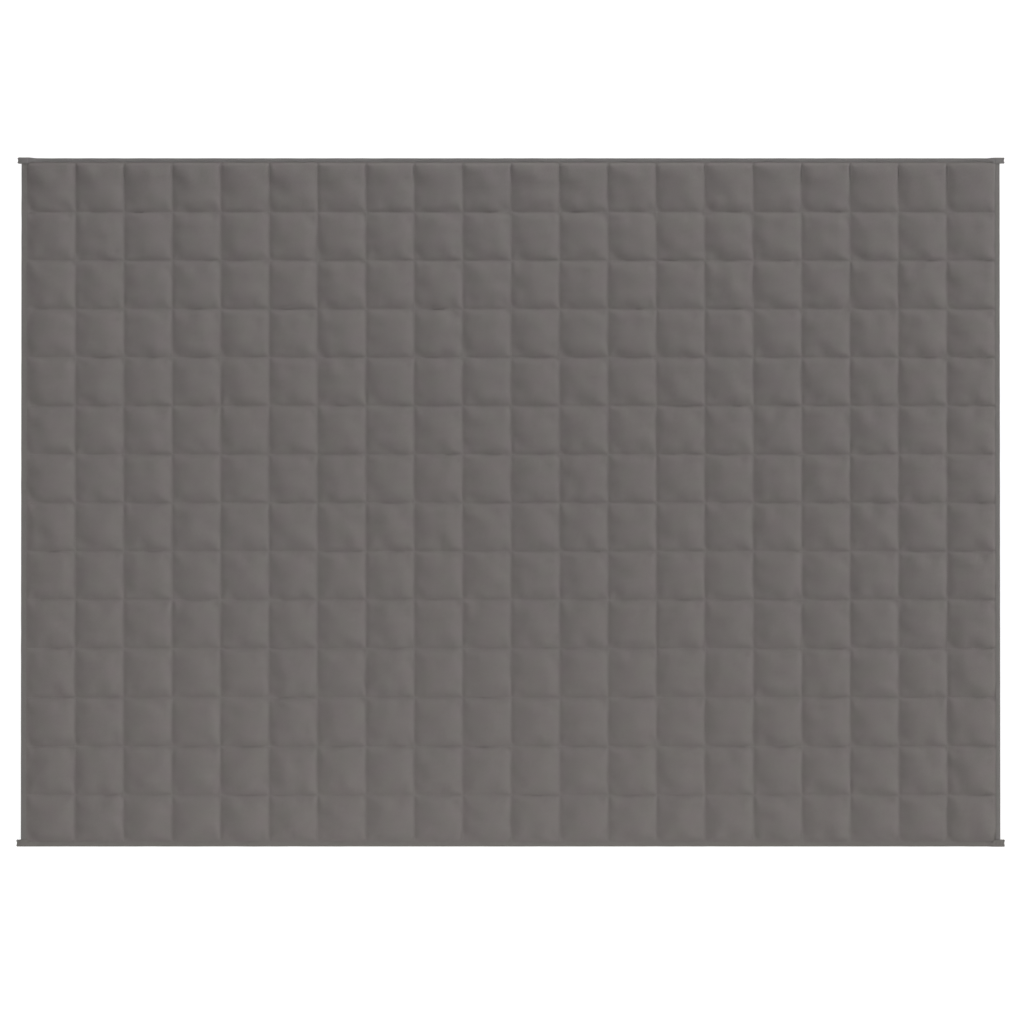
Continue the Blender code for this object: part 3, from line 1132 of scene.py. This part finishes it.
@dataclass
class QuiltingSeams:
    """The stitches of all the seams between pockets, on the face and on the back."""

    plan: QuiltPlan
    stitching: Stitching = field(default_factory=Stitching)  # The kind of stitch.
    proud: float = 0.3  # Share of the thread's width by which its middle stands out of the seam.

    def _places(self) -> Grids:
        """The flat middle of each stitch and the way it runs, along every inner seam both ways."""
        half_length, half_width = self.plan.half_length, self.plan.half_width
        pitch, step = self.plan.pitch, self.plan.pitch / STITCHES_PER_POCKET
        along_y = (np.arange(ROWS * STITCHES_PER_POCKET) + 0.5) * step - half_width
        along_x = (np.arange(COLUMNS * STITCHES_PER_POCKET) + 0.5) * step - half_length
        seams_x = np.arange(1, COLUMNS) * pitch - half_length
        seams_y = np.arange(1, ROWS) * pitch - half_width
        places, runs = [], []
        for x, y, run in ((seams_x, along_y, [0.0, 1.0, 0.0]), (along_x, seams_y, [1.0, 0.0, 0.0])):
            places.append(np.stack(np.meshgrid(x, y), axis=-1).reshape(-1, 2))
            runs.append(np.tile(run, (len(places[-1]), 1)))
        return np.concatenate(places), np.concatenate(runs)

    def build(self, material: Material) -> List[bpy.types.Object]:
        """Builds the stitches of both sides.

        Args:
            material: The thread's material.

        Returns:
            The two pieces.
        """
        flat, runs = self._places()
        pieces = []
        for name, height, up in (("face", SEAM_TOP, 1.0), ("back", SEAM_UNDERSIDE, -1.0)):
            lift = up * self.proud * self.stitching.width
            centres = np.column_stack([flat, np.full(len(flat), height + lift)])
            centres = self.plan.laid(self.plan.sewn(centres))
            ups = np.tile([0.0, 0.0, up], (len(flat), 1))
            rng = np.random.default_rng(SEED + QUILTING_DRAWS)
            mesh = self.stitching.sewn(f"quilting_stitches_{name}", centres, runs, ups, rng)
            pieces.append(add_piece(mesh, material))
        return pieces


# ------ The binding ------


@dataclass
class TapeRun:
    """The shape of a folded tape at each of its sections, as arrays along its run."""

    along: Array  # The section's place along the edge.
    lip: Array  # How far outwards from the last seam the tape's two edges lie.
    outer: Array  # How far outwards its fold lies.
    # How much further than on the plain run either layer lies from the middle height.
    spread: Array
    squash: Array  # How flat the section is pressed, 1 where it isn't.
    lift: Array  # How far the tape's edges stand up.


@dataclass
class TapeLayers:
    """The middle surface of a tape, from which both of its faces are set off."""

    surface: Array  # Along, outwards and height of each point, a row for each section.
    normal: Array  # The way out of the cloth at each point.
    places: Array  # Where each point lies on the flat tape.

    def rings(self, thickness: float) -> Grids:
        """The closed outline of each section: outside, lower lip, inside and upper lip.

        Args:
            thickness: Thickness of the cloth.

        Returns:
            The points, a row for each section, and their places on the flat tape.
        """
        offset = self.normal * thickness / 2
        lips = self.surface[:, [0, -1]]
        lips[..., 1] -= thickness / 4
        inside = (self.surface - offset)[:, ::-1]
        points = np.concatenate([self.surface + offset, lips[:, 1:], inside, lips[:, :1]], axis=1)
        places = self.places
        around = [places, places[:, -1:], places[:, ::-1], places[:, :1]]
        return points, np.concatenate(around, axis=1)


@dataclass
class FoldedTape:
    """A woven tape folded over an edge and sewn through near its own two edges.

    Its section is a U on its side. The middle line of the cloth runs along the upper layer, round
    a half circle and back along the lower layer, and the two faces lie half the thickness to
    either side of it.
    """

    plan: QuiltPlan
    edge: Edge  # The edge that it binds.
    lip: float  # How far outwards from the last seam its own edges lie.
    outer: float  # How far outwards from the last seam its fold lies.
    seed: int  # Where its unevenness is drawn from.
    thickness: float = 0.28 * MM  # Thickness of the tape.
    # From the seam's middle height to the middle of either layer at the tape's edges.
    lip_height: float = 1.2 * MM
    fold_radius: float = 1.0 * MM  # The same at the fold, which is a half circle.
    step: float = 2.6 * MM  # Distance between sections.
    stitch_inset: float = 1.6 * MM  # From its edges to the line of stitches.
    stitch_pitch: float = 3.0 * MM  # Distance between stitches.
    stitch_sink: float = 0.03 * MM  # How far the stitches' middles lie in the cloth.
    groove: float = 0.03 * MM  # How deep the stitches pull it in.
    groove_reach: float = 0.6 * MM  # How far from their line.
    puff: float = 0.06 * MM  # How much it swells between the stitches and the fold.
    lip_lift: float = 0.08 * MM  # How far its edges stand up here and there between the stitches.
    lift_reach: float = 1.3 * MM  # How far inwards from its edges that shows.
    lip_sway: float = 0.16 * MM  # How far its edges stray from their line.
    fold_sway: float = 0.05 * MM  # How far its fold does.

    # Stations of a section: shares of the way from the lip to the fold, and degrees round the fold.
    LEG_SHARES = (0.0, 0.015, 0.08, 0.16, 0.22, 0.28, 0.36, 0.5, 0.66, 0.84)
    FOLD_TURNS = (90, 66, 44, 22, 0, -22, -44, -66, -90)
    # Lengths of the waves in which the lip, the fold, its edges' lift and its puff change.
    LIP_WAVE = 0.045
    FOLD_WAVE = 0.09
    LIFT_WAVE = 0.022
    LIFT_WIDE_WAVE = 0.3
    PUFF_WAVE = 0.03
    LIFT_WIDE_SHARE = 0.25
    PUFF_UNEVEN = 0.4
    SPREAD_HEIGHT = 0.8 * MM  # Height from which on a layer moves almost fully with the spread.
    # Half of how far apart along the map's Y two tapes that run along this axis lie, so that the
    # lean makes the head tape cooler and a little lighter, the foot tape warmer.
    TAPE_MAP_APART = {"x": 0.5, "y": 0.05}

    def reach(self) -> Pair:
        """Where the tape starts and ends along its edge."""
        half = self.plan.half_width + RIM_WIDTH
        return -half, half

    def sections(self) -> Array:
        """Places of the sections along the edge."""
        start, end = self.reach()
        return np.linspace(start, end, round((end - start) / self.step) + 1)

    def run(self, along: Array) -> TapeRun:
        """The sections at given places along the edge, with the tape's small unevenness.

        Args:
            along: Places along the edge.

        Returns:
            The sections.
        """
        rng = np.random.default_rng(SEED + self.seed)
        lip = self.lip + self.lip_sway * wander(rng, along, self.LIP_WAVE)
        outer = self.outer + self.fold_sway * wander(rng, along, self.FOLD_WAVE)
        short = wander(rng, along, self.LIFT_WAVE)
        wide = wander(rng, along, self.LIFT_WIDE_WAVE)
        lift = self.lip_lift * np.clip(short + self.LIFT_WIDE_SHARE * wide, 0, None)
        return TapeRun(along, lip, outer, np.zeros_like(along), np.ones_like(along), lift)

    def _middle_line(self, run: TapeRun) -> Grids:
        """Middle line of the cloth in each section, before its unevenness.

        Args:
            run: The sections.

        Returns:
            Outwards and height of each station, and its distance from the nearer edge of the tape,
            all with a row for each section.
        """
        radius = np.full((len(run.along), 1), self.fold_radius)
        centre = run.outer[:, None] - self.thickness / 2 - radius
        lip = run.lip[:, None]
        shares = np.array(self.LEG_SHARES)[None]
        turns = np.radians(self.FOLD_TURNS)[None]
        leg = lip + (centre - lip) * shares
        level = self.lip_height + (radius - self.lip_height) * smooth_step(0.0, 1.0, shares)
        outwards = np.concatenate([leg, centre + radius * np.cos(turns), leg[:, ::-1]], axis=1)
        height = np.concatenate([level, radius * np.sin(turns), -level[:, ::-1]], axis=1)
        return np.stack([outwards, height], axis=-1), outwards - lip

    def _relief(self, run: TapeRun, from_lip: Array) -> Array:
        """How far the tape stands out from an even one.

        The line of stitches is a bell-shaped trough. The cloth between it and the fold swells as
        half a sine, here more and there less. The edges stand up here and there, by e to the minus
        distance from the edge over its reach.

        Args:
            run: The sections.
            from_lip: Each station's distance from the nearer edge of the tape.

        Returns:
            The relief at each station.
        """
        rng = np.random.default_rng(SEED + self.seed + RELIEF_DRAWS)
        width = (run.outer - run.lip)[:, None]
        trough = -self.groove * bell(from_lip - self.stitch_inset, self.groove_reach)
        share = np.clip((from_lip - self.stitch_inset) / (width - self.stitch_inset), 0, 1)
        uneven = 1 + self.PUFF_UNEVEN * wander(rng, run.along, self.PUFF_WAVE)[:, None]
        stand = run.lift[:, None] * np.exp(-from_lip / self.lift_reach)
        return trough + self.puff * uneven * np.sin(math.pi * share) + stand

    def _layers(self, run: TapeRun) -> TapeLayers:
        """The tape's middle surface along its run, with all its unevenness.

        Args:
            run: The sections.

        Returns:
            The surface, its normals and its places on the flat tape.
        """
        even, from_lip = self._middle_line(run)
        slope = np.gradient(even, axis=1)
        normal = np.stack([-slope[..., 1], slope[..., 0]], axis=-1)
        normal /= np.linalg.norm(normal, axis=-1, keepdims=True)
        middle = even + normal * self._relief(run, from_lip)[..., None]
        steps = np.linalg.norm(np.diff(middle, axis=1), axis=-1)
        across = np.concatenate([np.zeros((len(steps), 1)), np.cumsum(steps, axis=1)], axis=1)
        height = middle[..., 1]
        opened = run.spread[:, None] * np.tanh(height / self.SPREAD_HEIGHT)
        middle[..., 1] = height * run.squash[:, None] + opened
        along = np.broadcast_to(run.along[:, None], across.shape)
        return TapeLayers(
            surface=np.concatenate([along[..., None], middle], axis=-1),
            normal=np.concatenate([np.zeros_like(across)[..., None], normal], axis=-1),
            places=np.stack([along, across], axis=-1),
        )

    def _placed(self, points: Array) -> Array:
        """Sets points in space, on the tape's edge of the blanket.

        Args:
            points: Along, outwards and height of each point.

        Returns:
            X, Y and Z of each point.
        """
        along, outwards = points[..., 0], points[..., 1]
        height = SEAM_MIDDLE + np.maximum(points[..., 2], LOWEST - SEAM_MIDDLE)
        if self.edge.along == "y":
            axes = [self.edge.side * (self.plan.half_length + outwards), along, height]
        else:
            axes = [along, self.edge.side * (self.plan.half_width + outwards), height]
        return self.plan.laid(np.stack(axes, axis=-1))

    def build(self, material: Material) -> bpy.types.Object:
        """Builds the tape as one closed mesh: both faces, its two edges and its two ends.

        Args:
            material: The tape's material.

        Returns:
            The piece.
        """
        run = self.run(self.sections())
        layers = self._layers(run)
        rings, places = layers.rings(self.thickness)
        count, size = rings.shape[:2]
        stations = layers.surface.shape[1]
        # The cut ends bulge a little in their middle.
        bulge = np.array([[[-1.0, 0.0, 0.0]], [[1.0, 0.0, 0.0]]]) * (self.thickness / 3)
        middles = layers.surface[[0, -1]] + bulge
        points = np.concatenate([rings.reshape(-1, 3), middles.reshape(-1, 3)])
        places = np.concatenate([places.reshape(-1, 2), layers.places[[0, -1]].reshape(-1, 2)])
        near_quads, near_lips = self._end_faces(0, count * size, stations)
        far_quads, far_lips = self._end_faces((count - 1) * size, count * size + stations, stations)
        sides = grid_quads(count, size, closed=True)
        quads = np.concatenate([sides, near_quads, far_quads[:, ::-1]])
        triangles = np.concatenate([near_lips, far_lips[:, ::-1]])
        if (self.edge.side < 0) == (self.edge.along == "y"):
            quads, triangles = quads[:, ::-1], triangles[:, ::-1]
        name = self.edge.node.replace("tape", "binding")
        mesh = make_mesh(name, self._placed(points), quads, triangles)
        map_shift = np.array([0.0, self.TAPE_MAP_APART[self.edge.along] * self.edge.side])
        add_cloth_places(mesh, places + map_shift)
        piece = add_piece(mesh, material)
        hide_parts(self.edge.node)
        return piece

    @staticmethod
    def _end_faces(ring: int, first: int, stations: int) -> Grids:
        """The faces that close the near end, between a section's outline and the end's middle row.

        Args:
            ring: Number of the section's first point.
            first: Number of the middle row's first point.
            stations: Points in the middle row.

        Returns:
            The four-sided faces, and the triangles at the two lips.
        """
        here = np.arange(stations - 1)
        outside, middle, inside = ring + here, first + here, ring + 2 * stations - here
        outer_strip = np.stack([outside, middle, middle + 1, outside + 1], axis=-1)
        inner_strip = np.stack([middle, inside, inside - 1, middle + 1], axis=-1)
        last = stations - 1
        lips = [
            [ring + last, first + last, ring + stations],
            [first + last, ring + stations + 1, ring + stations],
            [ring, ring + 2 * stations + 1, first],
            [ring + 2 * stations + 1, ring + 2 * stations, first],
        ]
        return np.concatenate([outer_strip, inner_strip]), np.array(lips)

    def stitches(self) -> Tuple[Array, Array, Array]:
        """The stitches that hold the tape, on both of its layers.

        Returns:
            The middle, the heading and the way out of each.
        """
        start, end = self.reach()
        margin = 2 * self.stitch_pitch
        along = np.arange(start + margin, end - margin, self.stitch_pitch)
        run = self.run(along)
        level = self.lip_height + run.spread + self.thickness / 2 - self.groove - self.stitch_sink
        centres, ups = [], []
        for up in (1.0, -1.0):
            line = np.stack([along, run.lip + self.stitch_inset, up * level], axis=-1)
            centres.append(self._placed(line))
            ups.append(np.tile([0.0, 0.0, up], (len(along), 1)))
        heading = [0.0, 1.0, 0.0] if self.edge.along == "y" else [1.0, 0.0, 0.0]
        return np.concatenate(centres), np.tile(heading, (2 * len(along), 1)), np.concatenate(ups)


@dataclass
class EndTape(FoldedTape):
    """A tape that takes in both side tapes' ends, and whose own ends are turned in and proud."""

    reach_left: float = 0.0  # How far past the last seam on the left it ends.
    reach_right: float = 0.0  # The same on the right.
    # How far past the last seams the side tapes' folds lie, left and right.
    side_outer: Pair = (0.0, 0.0)
    bulk: Pair = (0.0, 0.0)  # How far outwards its corners swell, left and right.
    lap: float = 0.0  # How far its corners lap over the pockets.
    corner_rise: float = 1.05 * MM  # How much further apart its layers lie over a side tape.
    turn_radius: float = 0.42 * MM  # Radius of the bend where its ends are turned in.
    turned_in: float = 5.5 * MM  # Length of the turned-in ends.
    pinch: float = 0.5 * MM  # How far the sewing pulls the middle of its ends together.
    notch: float = 1.1 * MM  # How far it pulls the middle of its ends back.
    # How deep its corners sink in beside a side tape's inner edge, left and right.
    dent: Pair = (0.4 * MM, 0.5 * MM)
    crumple: float = 0.18 * MM  # How uneven its proud ends are.
    rounded: float = 0.8 * MM  # How far the corners of its ends are rounded off.
    flattened: float = 0.25 * MM  # How much lower they are.

    # The last stretch at either end has its own, closer sections.
    CORNER = 30 * MM
    CORNER_SECTIONS = 70
    # Distances past the last seam over which it opens out and over which it laps over the pockets.
    OPENS = (-20 * MM, -1.5 * MM)
    LAPS = (-9 * MM, -2 * MM)
    # Distances past the side tape's fold over which it comes to stand proud.
    PROUD = (0.3 * MM, 3 * MM)
    # Where the dent lies and how far it reaches.
    DENT_AT = -1.5 * MM
    DENT_REACH = 0.9 * MM
    CRUMPLE_WAVE = 0.009
    ROUNDING_REACH = 1.8 * MM
    PINCH_REACH = 2.6 * MM
    # How much flatter it is pressed where it stands proud and where its ends are rounded.
    PROUD_SQUASH = 0.15
    ROUND_SQUASH = 0.1
    PROUD_CLOSED = 0.5  # Share of the corner's rise that is gone where it stands proud.
    # Degrees round the bend where its ends are turned in, and sections on the way back inside.
    BEND_TURNS = (30, 60, 90, 120, 150, 180)
    BACK_SECTIONS = 3

    def reach(self) -> Pair:
        """Where the tape starts and ends along its edge."""
        return -self.plan.half_length - self.reach_left, self.plan.half_length + self.reach_right

    def sections(self) -> Array:
        """Places of the sections, closer together at the two corners."""
        start, end = self.reach()
        corner = self.plan.half_length - self.CORNER
        left = np.linspace(start, -corner, self.CORNER_SECTIONS)
        right = np.linspace(corner, end, self.CORNER_SECTIONS)
        inner = np.linspace(-corner, corner, round(2 * corner / self.step) + 1)
        return np.concatenate([left, inner[1:-1], right])

    def run(self, along: Array) -> TapeRun:
        """The sections, opened out over the side tapes and pressed flatter at the proud ends.

        The ends' corners are rounded by a quarter circle.

        Args:
            along: Places along the edge.

        Returns:
            The sections.
        """
        run = super().run(along)
        rng = np.random.default_rng(SEED + self.seed + CORNER_DRAWS)
        past_seam = np.abs(along) - self.plan.half_length
        past_side = past_seam - np.where(along < 0, *self.side_outer)
        opened = smooth_step(*self.OPENS, past_seam)
        lapped = smooth_step(*self.LAPS, past_seam)
        proud = smooth_step(*self.PROUD, past_side)
        crumple = self.crumple * wander(rng, along, self.CRUMPLE_WAVE) * proud
        dent = np.where(along < 0, *self.dent) * bell(past_seam - self.DENT_AT, self.DENT_REACH)
        start, end = self.reach()
        from_end = np.minimum(along - start, end - along) / self.ROUNDING_REACH
        rounding = 1 - np.sqrt(1 - np.clip(1 - from_end, 0, 1) ** 2)
        run.squash = 1 - self.PROUD_SQUASH * proud - self.ROUND_SQUASH * rounding
        run.spread = self.corner_rise * opened * (1 - self.PROUD_CLOSED * proud) - dent
        run.spread = run.spread + crumple - self.flattened * rounding
        bulk = np.where(along < 0, *self.bulk) * opened
        run.outer = run.outer + bulk + crumple - self.rounded * rounding
        run.lip = run.lip - self.lap * lapped - crumple + self.rounded * rounding
        run.lift = run.lift * (1 - opened)
        return run

    def _layers(self, run: TapeRun) -> TapeLayers:
        """The tape's middle surface with both ends turned in.

        Each end goes on around a half circle inwards and back inside the tape.

        Args:
            run: The sections.

        Returns:
            The surface, its normals and its places on the flat tape.
        """
        plain = super()._layers(run)
        self._pinch_ends(run, plain.surface)
        near, far = self._turned(plain, 0, -1.0), self._turned(plain, -1, 1.0)
        return TapeLayers(
            surface=np.concatenate([near.surface[::-1], plain.surface, far.surface]),
            normal=np.concatenate([near.normal[::-1], plain.normal, far.normal]),
            places=np.concatenate([near.places[::-1], plain.places, far.places]),
        )

    def _pinch_ends(self, run: TapeRun, surface: Array) -> None:
        """Pulls the middle of both ends together and back.

        The pull is the square of a half sine across the tape, and fades along it as a bell does.

        Args:
            run: The sections.
            surface: The tape's middle surface, which is changed.
        """
        start, end = self.reach()
        share = (surface[..., 1] - run.lip[:, None]) / (run.outer - run.lip)[:, None]
        middle = np.sin(math.pi * np.clip(share, 0, 1)) ** 2
        near = bell(run.along - start, self.PINCH_REACH)[:, None]
        far = bell(end - run.along, self.PINCH_REACH)[:, None]
        surface[..., 0] += self.notch * middle * (near - far)
        surface[..., 2] -= self.pinch * middle * (near + far) * np.sign(surface[..., 2])

    def _turned(self, plain: TapeLayers, section: int, outwards: float) -> TapeLayers:
        """The turned-in end that goes on from a section.

        Args:
            plain: The tape as far as the bend.
            section: Number of the section that the bend starts from.
            outwards: 1 where the tape's end points along its run, -1 where it points back.

        Returns:
            The surface around the bend and back inside, from the bend on.
        """
        turns = self.BEND_TURNS + self.BEND_TURNS[-1:] * self.BACK_SECTIONS
        turns = np.radians(turns)[:, None, None]
        back = np.linspace(0, self.turned_in, self.BACK_SECTIONS + 1)[1:]
        back = np.append(np.zeros(len(self.BEND_TURNS)), back)[:, None, None]
        surface, normal = plain.surface[section][None], plain.normal[section][None]
        along = np.array([outwards, 0.0, 0.0])
        inwards = -normal * self.turn_radius * (1 - np.cos(turns))
        moved = along * (self.turn_radius * np.sin(turns) - back)
        length = self.turn_radius * turns + back
        places = plain.places[section][None] + np.array([outwards, 0.0]) * length
        normal = normal * np.cos(turns) + along * np.sin(turns)
        return TapeLayers(surface + inwards + moved, normal, places)


@dataclass
class Binding:
    """The four tapes and the stitches that hold them."""

    plan: QuiltPlan
    left_outer: float = 12.2 * MM  # From the last seam on the left to the left tape's fold.
    right_outer: float = 8.8 * MM  # The same on the right.
    # The kind of stitch.
    stitching: Stitching = field(default_factory=lambda: Stitching(2.4 * MM, 0.27 * MM))

    def tapes(self) -> List[FoldedTape]:
        """The four tapes, each with its own reach and unevenness."""
        sides = (self.left_outer, self.right_outer)
        return [
            FoldedTape(self.plan, Edge.LEFT, lip=1.6 * MM, outer=self.left_outer, seed=11),
            FoldedTape(
                self.plan, Edge.RIGHT, lip=-0.5 * MM, outer=self.right_outer, seed=12,
                lip_height=1.4 * MM, fold_radius=0.85 * MM,
            ),
            EndTape(
                self.plan, Edge.HEAD, lip=3.3 * MM, outer=10.6 * MM, seed=13,
                fold_radius=0.85 * MM, reach_left=19.9 * MM, reach_right=18.2 * MM,
                side_outer=sides, bulk=(1.7 * MM, 1.3 * MM), lap=3.6 * MM,
                dent=(0.4 * MM, 0.9 * MM),
            ),
            EndTape(
                self.plan, Edge.FOOT, lip=1.3 * MM, outer=10.5 * MM, seed=14,
                lip_lift=0.16 * MM, reach_left=20.6 * MM, reach_right=17.4 * MM,
                side_outer=sides, bulk=(0.0, 0.4 * MM), lap=5.0 * MM,
            ),
        ]

    def build(self, cloth: Material, thread: Material) -> List[bpy.types.Object]:
        """Builds the tapes and their stitches.

        Args:
            cloth: The tape's material.
            thread: The thread's material.

        Returns:
            The pieces.
        """
        tapes = self.tapes()
        pieces = [tape.build(cloth) for tape in tapes]
        parts = zip(*(tape.stitches() for tape in tapes))
        centres, headings, ups = (np.concatenate(part) for part in parts)
        rng = np.random.default_rng(SEED + BINDING_DRAWS)
        mesh = self.stitching.sewn("binding_stitches", centres, headings, ups, rng)
        pieces.append(add_piece(mesh, thread))
        return pieces


# ------ The studio ------


@dataclass(frozen=True)
class SoftBox:
    """A square soft light aimed at the blanket's middle."""

    name: str  # The light's name.
    place: Tuple[float, float, float]  # Where it hangs.
    side: float  # Length of its sides.
    power: float  # Its power in watts.

    def build(self) -> None:
        """Adds the light."""
        lamp = bpy.data.lights.new(self.name, "AREA")
        lamp.shape = "SQUARE"
        lamp.size = self.side
        lamp.energy = self.power
        light = add_object(self.name, lamp)
        light.location = self.place
        light.rotation_euler = Vector(self.place).to_track_quat("Z", "Y").to_euler()


@dataclass
class Studio:
    """White floor, pale backdrop, soft lights and the camera straight above."""

    # The lights. The one under the floor lights the underside alone.
    soft_boxes: Sequence[SoftBox] = (
        SoftBox("key_right", (4.6, 0.0, 1.2), 1.2, 171.0),
        SoftBox("head_light", (0.3, 4.0, 1.6), 0.8, 121.0),
        SoftBox("low_head_light", (0.3, 2.8, 0.6), 0.8, 10.0),
        SoftBox("foot_light", (0.0, -3.2, 1.8), 0.8, 48.0),
        SoftBox("near_foot_light", (0.0, -2.4, 1.4), 0.8, 11.0),
        SoftBox("foot_overhead", (0.0, -1.6, 2.4), 1.2, 5.5),
        SoftBox("left_fill", (-2.6, 0.0, 2.6), 1.2, 26.0),
        SoftBox("near_left_fill", (-1.8, 0.0, 1.7), 1.2, 7.0),
        SoftBox("under_light", (1.8, -1.4, -3.0), 1.6, 230.0),
    )
    # How brightly the floor and the backdrop show to the camera, without giving light.
    glow: float = 0.9
    floor_side: float = 14.0  # Length of the floor's sides.
    # How far the floor lies below the flat undersides, so that no faces coincide.
    floor_drop: float = 0.2 * MM
    camera_aim: Pair = (0.0012, -0.0196)  # Where the picture's middle falls on the blanket.
    picture_width: float = 2.0930  # Width that the picture takes in at the seams' height.
    lens: float = 100.0  # The camera's lens, in millimetres.
    sensor: float = 36.0  # Width of its sensor, in millimetres.

    WHITE = (1.0, 1.0, 1.0, 1.0)
    FLOOR_GREY = (0.25, 0.25, 0.25, 1.0)  # What the floor throws back of the lights.

    def _seen_glow(self, bench: NodeBench) -> Socket:
        """The glow's strength: full to the camera and nothing as light on the blanket."""
        return bench.math("MULTIPLY", bench.add("LightPath").outputs["Is Camera Ray"], self.glow)

    def _floor_material(self) -> Material:
        """White that glows to the camera and that can be seen and lit through from below."""
        material, bench, shader = new_material("white_floor")
        bench.give(
            shader,
            Base_Color=self.FLOOR_GREY,
            Roughness=1.0,
            Specular_IOR_Level=0.0,
            Emission_Color=self.WHITE,
            Emission_Strength=self._seen_glow(bench),
        )
        from_below = bench.add("NewGeometry").outputs["Backfacing"]
        shadow = bench.add("LightPath").outputs["Is Shadow Ray"]
        mixed = bench.add("MixShader", None, Fac=bench.math("MAXIMUM", from_below, shadow))
        bench.feed(mixed.inputs[1], shader.outputs["BSDF"])
        bench.feed(mixed.inputs[2], bench.add("BsdfTransparent").outputs["BSDF"])
        output = material.node_tree.nodes["Material Output"]
        bench.give(output, Surface=mixed.outputs["Shader"])
        return material

    def _floor(self) -> None:
        """The floor, which glows so that it shows as white all around the blanket."""
        half = self.floor_side / 2
        corners = np.array([[-half, -half, 0], [half, -half, 0], [half, half, 0], [-half, half, 0]])
        corners[:, 2] = -self.floor_drop
        mesh = make_mesh("floor", corners, np.array([[0, 1, 2, 3]]))
        mesh.materials.append(self._floor_material())
        add_object("floor", mesh)

    def _backdrop(self) -> None:
        """A pale backdrop past the floor's edges, which gives no light."""
        world = bpy.data.worlds.new("pale_backdrop")
        world.use_nodes = True
        bench = NodeBench(world.node_tree)
        background = world.node_tree.nodes["Background"]
        bench.give(background, Color=self.WHITE, Strength=self._seen_glow(bench))
        bpy.context.scene.world = world

    def _camera(self) -> None:
        """The camera straight above, as far up as its lens needs for the picture's width."""
        data = bpy.data.cameras.new("camera")
        data.lens = self.lens
        data.sensor_width = self.sensor
        data.clip_end = 100.0
        camera = add_object("camera", data)
        distance = self.picture_width * self.lens / self.sensor
        camera.location = (*self.camera_aim, SEAM_TOP + distance)
        bpy.context.scene.camera = camera

    def build(self) -> None:
        """Builds the floor, the backdrop, the lights and the camera."""
        bpy.context.scene.view_settings.view_transform = "Standard"
        self._floor()
        self._backdrop()
        for soft_box in self.soft_boxes:
            soft_box.build()
        self._camera()


# ------ The whole scene ------


def main() -> None:
    """Builds the blanket's looks around its frame."""
    logging.basicConfig(level=logging.INFO, format="%(name)s: %(message)s")
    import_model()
    Studio().build()

    plan = QuiltPlan.from_frame()
    effects = SharedEffects()
    quilt = QuiltFinish(
        name="quilt_cloth",
        cool=(0.148, 0.136, 0.133, 1.0),
        warm=(0.158, 0.142, 0.134, 1.0),
        rose=(1.010, 0.985, 1.006, 1.0),
        olive=(0.990, 1.013, 0.988, 1.0),
        # Lighter and warmer towards the foot, cooler and darker towards the head.
        lean=-0.25,
        threads=1900.0,
        weave_depth=0.035,
        nap_depth=0.09,
        tone_spread=0.10,
        roughness=0.88,
        sheen=0.12,
        pitch=plan.pitch,
    ).material(effects)
    tape = ClothFinish(
        name="binding_tape",
        cool=(0.154, 0.148, 0.1455, 1.0),
        warm=(0.151, 0.1415, 0.131, 1.0),
        rose=(1.006, 0.992, 1.006, 1.0),
        olive=(0.994, 1.008, 0.990, 1.0),
        lean=-0.9,
        threads=1300.0,
        weave_depth=0.05,
        nap_depth=0.04,
        tone_spread=0.08,
        roughness=0.8,
        sheen=0.08,
    ).material(effects)
    sewing_thread = ThreadFinish("sewing_thread", colour=(0.143, 0.137, 0.132, 1.0), twists=900.0)
    thread = sewing_thread.material()

    face_cloth = FaceCloth(plan)
    sheet = face_cloth.settled(np.random.default_rng(SEED))
    LOG.info("the face cloth has settled, %.1f mm above the seams", sheet[..., 2].max() / MM)
    QuiltedBody(plan, sheet, face_cloth.cells).build(quilt)
    QuiltingSeams(plan).build(thread)
    Binding(plan).build(tape, thread)


if __name__ == "__main__":
    main()
